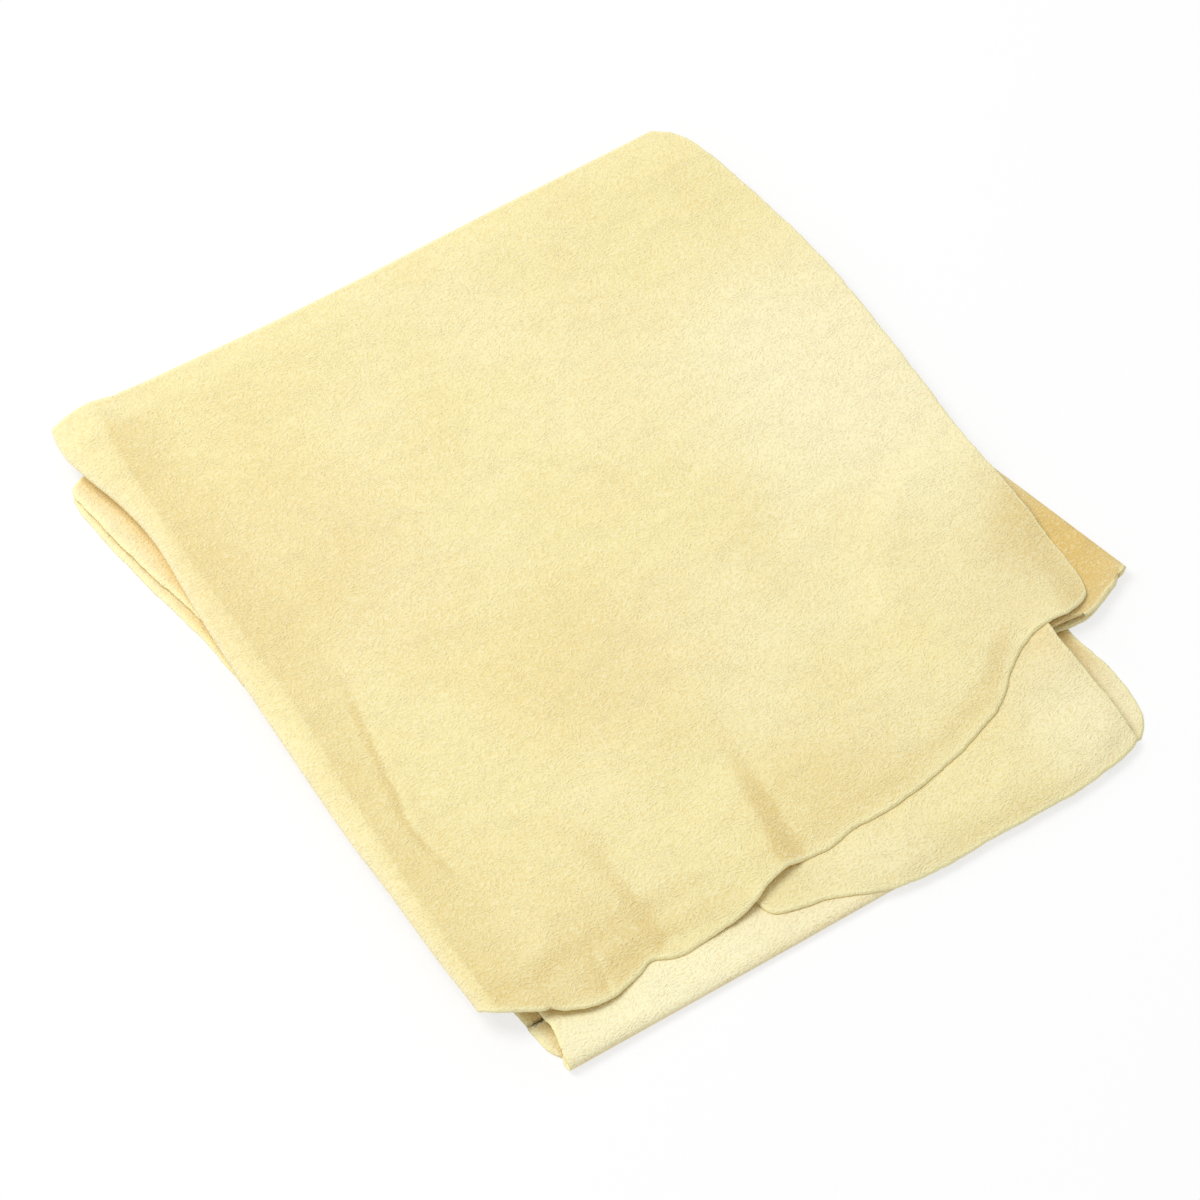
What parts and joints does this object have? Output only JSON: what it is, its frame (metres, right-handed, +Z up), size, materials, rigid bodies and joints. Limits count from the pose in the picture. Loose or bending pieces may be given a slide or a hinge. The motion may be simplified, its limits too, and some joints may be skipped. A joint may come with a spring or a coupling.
{
  "type": "folded chamois leather",
  "caption": "Natural chamois leather for washing and drying, one soft napped skin with raw wavy edges, folded into a flat packet that opens at its folds.",
  "frame": {"origin": "middle of the packet's footprint on the table", "axes": "+Z up; +X along the far edge towards the leg at the right; +Y from the near fold to the far fold"},
  "size_m": [0.3232, 0.3526, 0.0141],
  "materials": {
    "chamois": "oil tanned skin with a soft napped surface, matt, no dye and no coating"
  },
  "bodies": {
    "bottom": {"bottom_panel": "chamois", "near_fold": "chamois"},
    "lower": {"lower_panel": "chamois", "far_fold": "chamois", "leg_fold": "chamois"},
    "leg": {"leg_flap": "chamois"},
    "middle": {"middle_panel": "chamois", "left_fold": "chamois"},
    "top": {"top_flap": "chamois"}
  },
  "joints": [
    {"name": "near_fold_hinge", "type": "hinge", "parent": "bottom", "child": "lower", "pos_m": [-0.0114, -0.1734, 0.0078], "axis": [0.9994, 0.036, 0], "range_deg": [0, 180], "deforming": ["near_fold"]},
    {"name": "leg_fold_hinge", "type": "hinge", "parent": "lower", "child": "leg", "pos_m": [0.1524, -0.0632, 0.00375], "axis": [0.2596, -0.9657, 0], "range_deg": [0, 180], "deforming": ["leg_fold"]},
    {"name": "far_fold_hinge", "type": "hinge", "parent": "lower", "child": "middle", "pos_m": [-0.0112, 0.1683, 0.0078], "axis": [-0.9996, -0.0287, 0], "range_deg": [0, 180], "deforming": ["far_fold"]},
    {"name": "left_fold_hinge", "type": "hinge", "parent": "middle", "child": "top", "pos_m": [-0.1524, 0.0085, 0.0086], "axis": [0.0222, -0.9998, 0], "range_deg": [0, 180], "deforming": ["left_fold"]}
  ],
  "couplings": [
    {"joint": "leg_fold_hinge", "follows": "near_fold_hinge", "ratio": 1}
  ]
}
